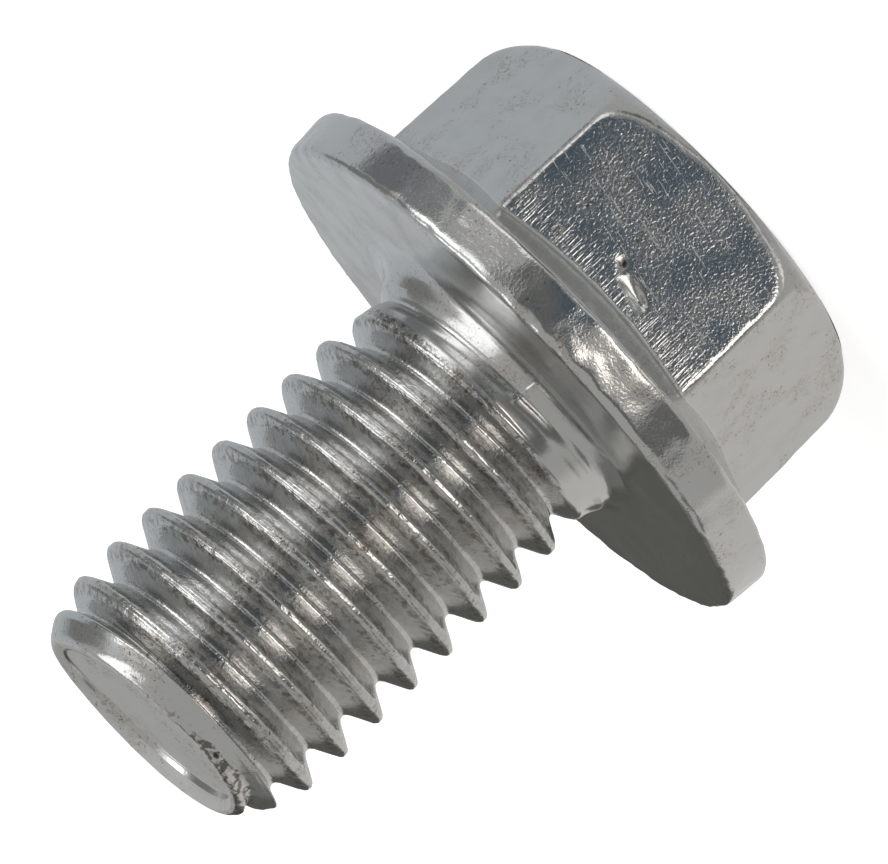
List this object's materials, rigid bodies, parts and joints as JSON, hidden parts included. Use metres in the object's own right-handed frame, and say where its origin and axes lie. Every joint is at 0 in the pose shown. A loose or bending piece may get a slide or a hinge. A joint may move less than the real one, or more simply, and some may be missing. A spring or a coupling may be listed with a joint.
{
  "type": "wheel bolt",
  "caption": "Short hex flange bolt with a wide plain flange, smooth neck, coarse metric thread and cupped tip.",
  "frame": {"origin": "centre of the bearing face under the flange", "axes": "+Z along the bolt from the head to the threaded tip; two of the hexagon's flats are square to Y; the bolt stands on the flat top of its head, which is its lowest face"},
  "size_m": [0.0198, 0.0198, 0.0238],
  "materials": {
    "zinc_plated_steel": "bright zinc plate, handled, with fine scratches"
  },
  "bodies": {
    "root": {"wheel_bolt": "zinc_plated_steel"}
  },
  "joints": []
}
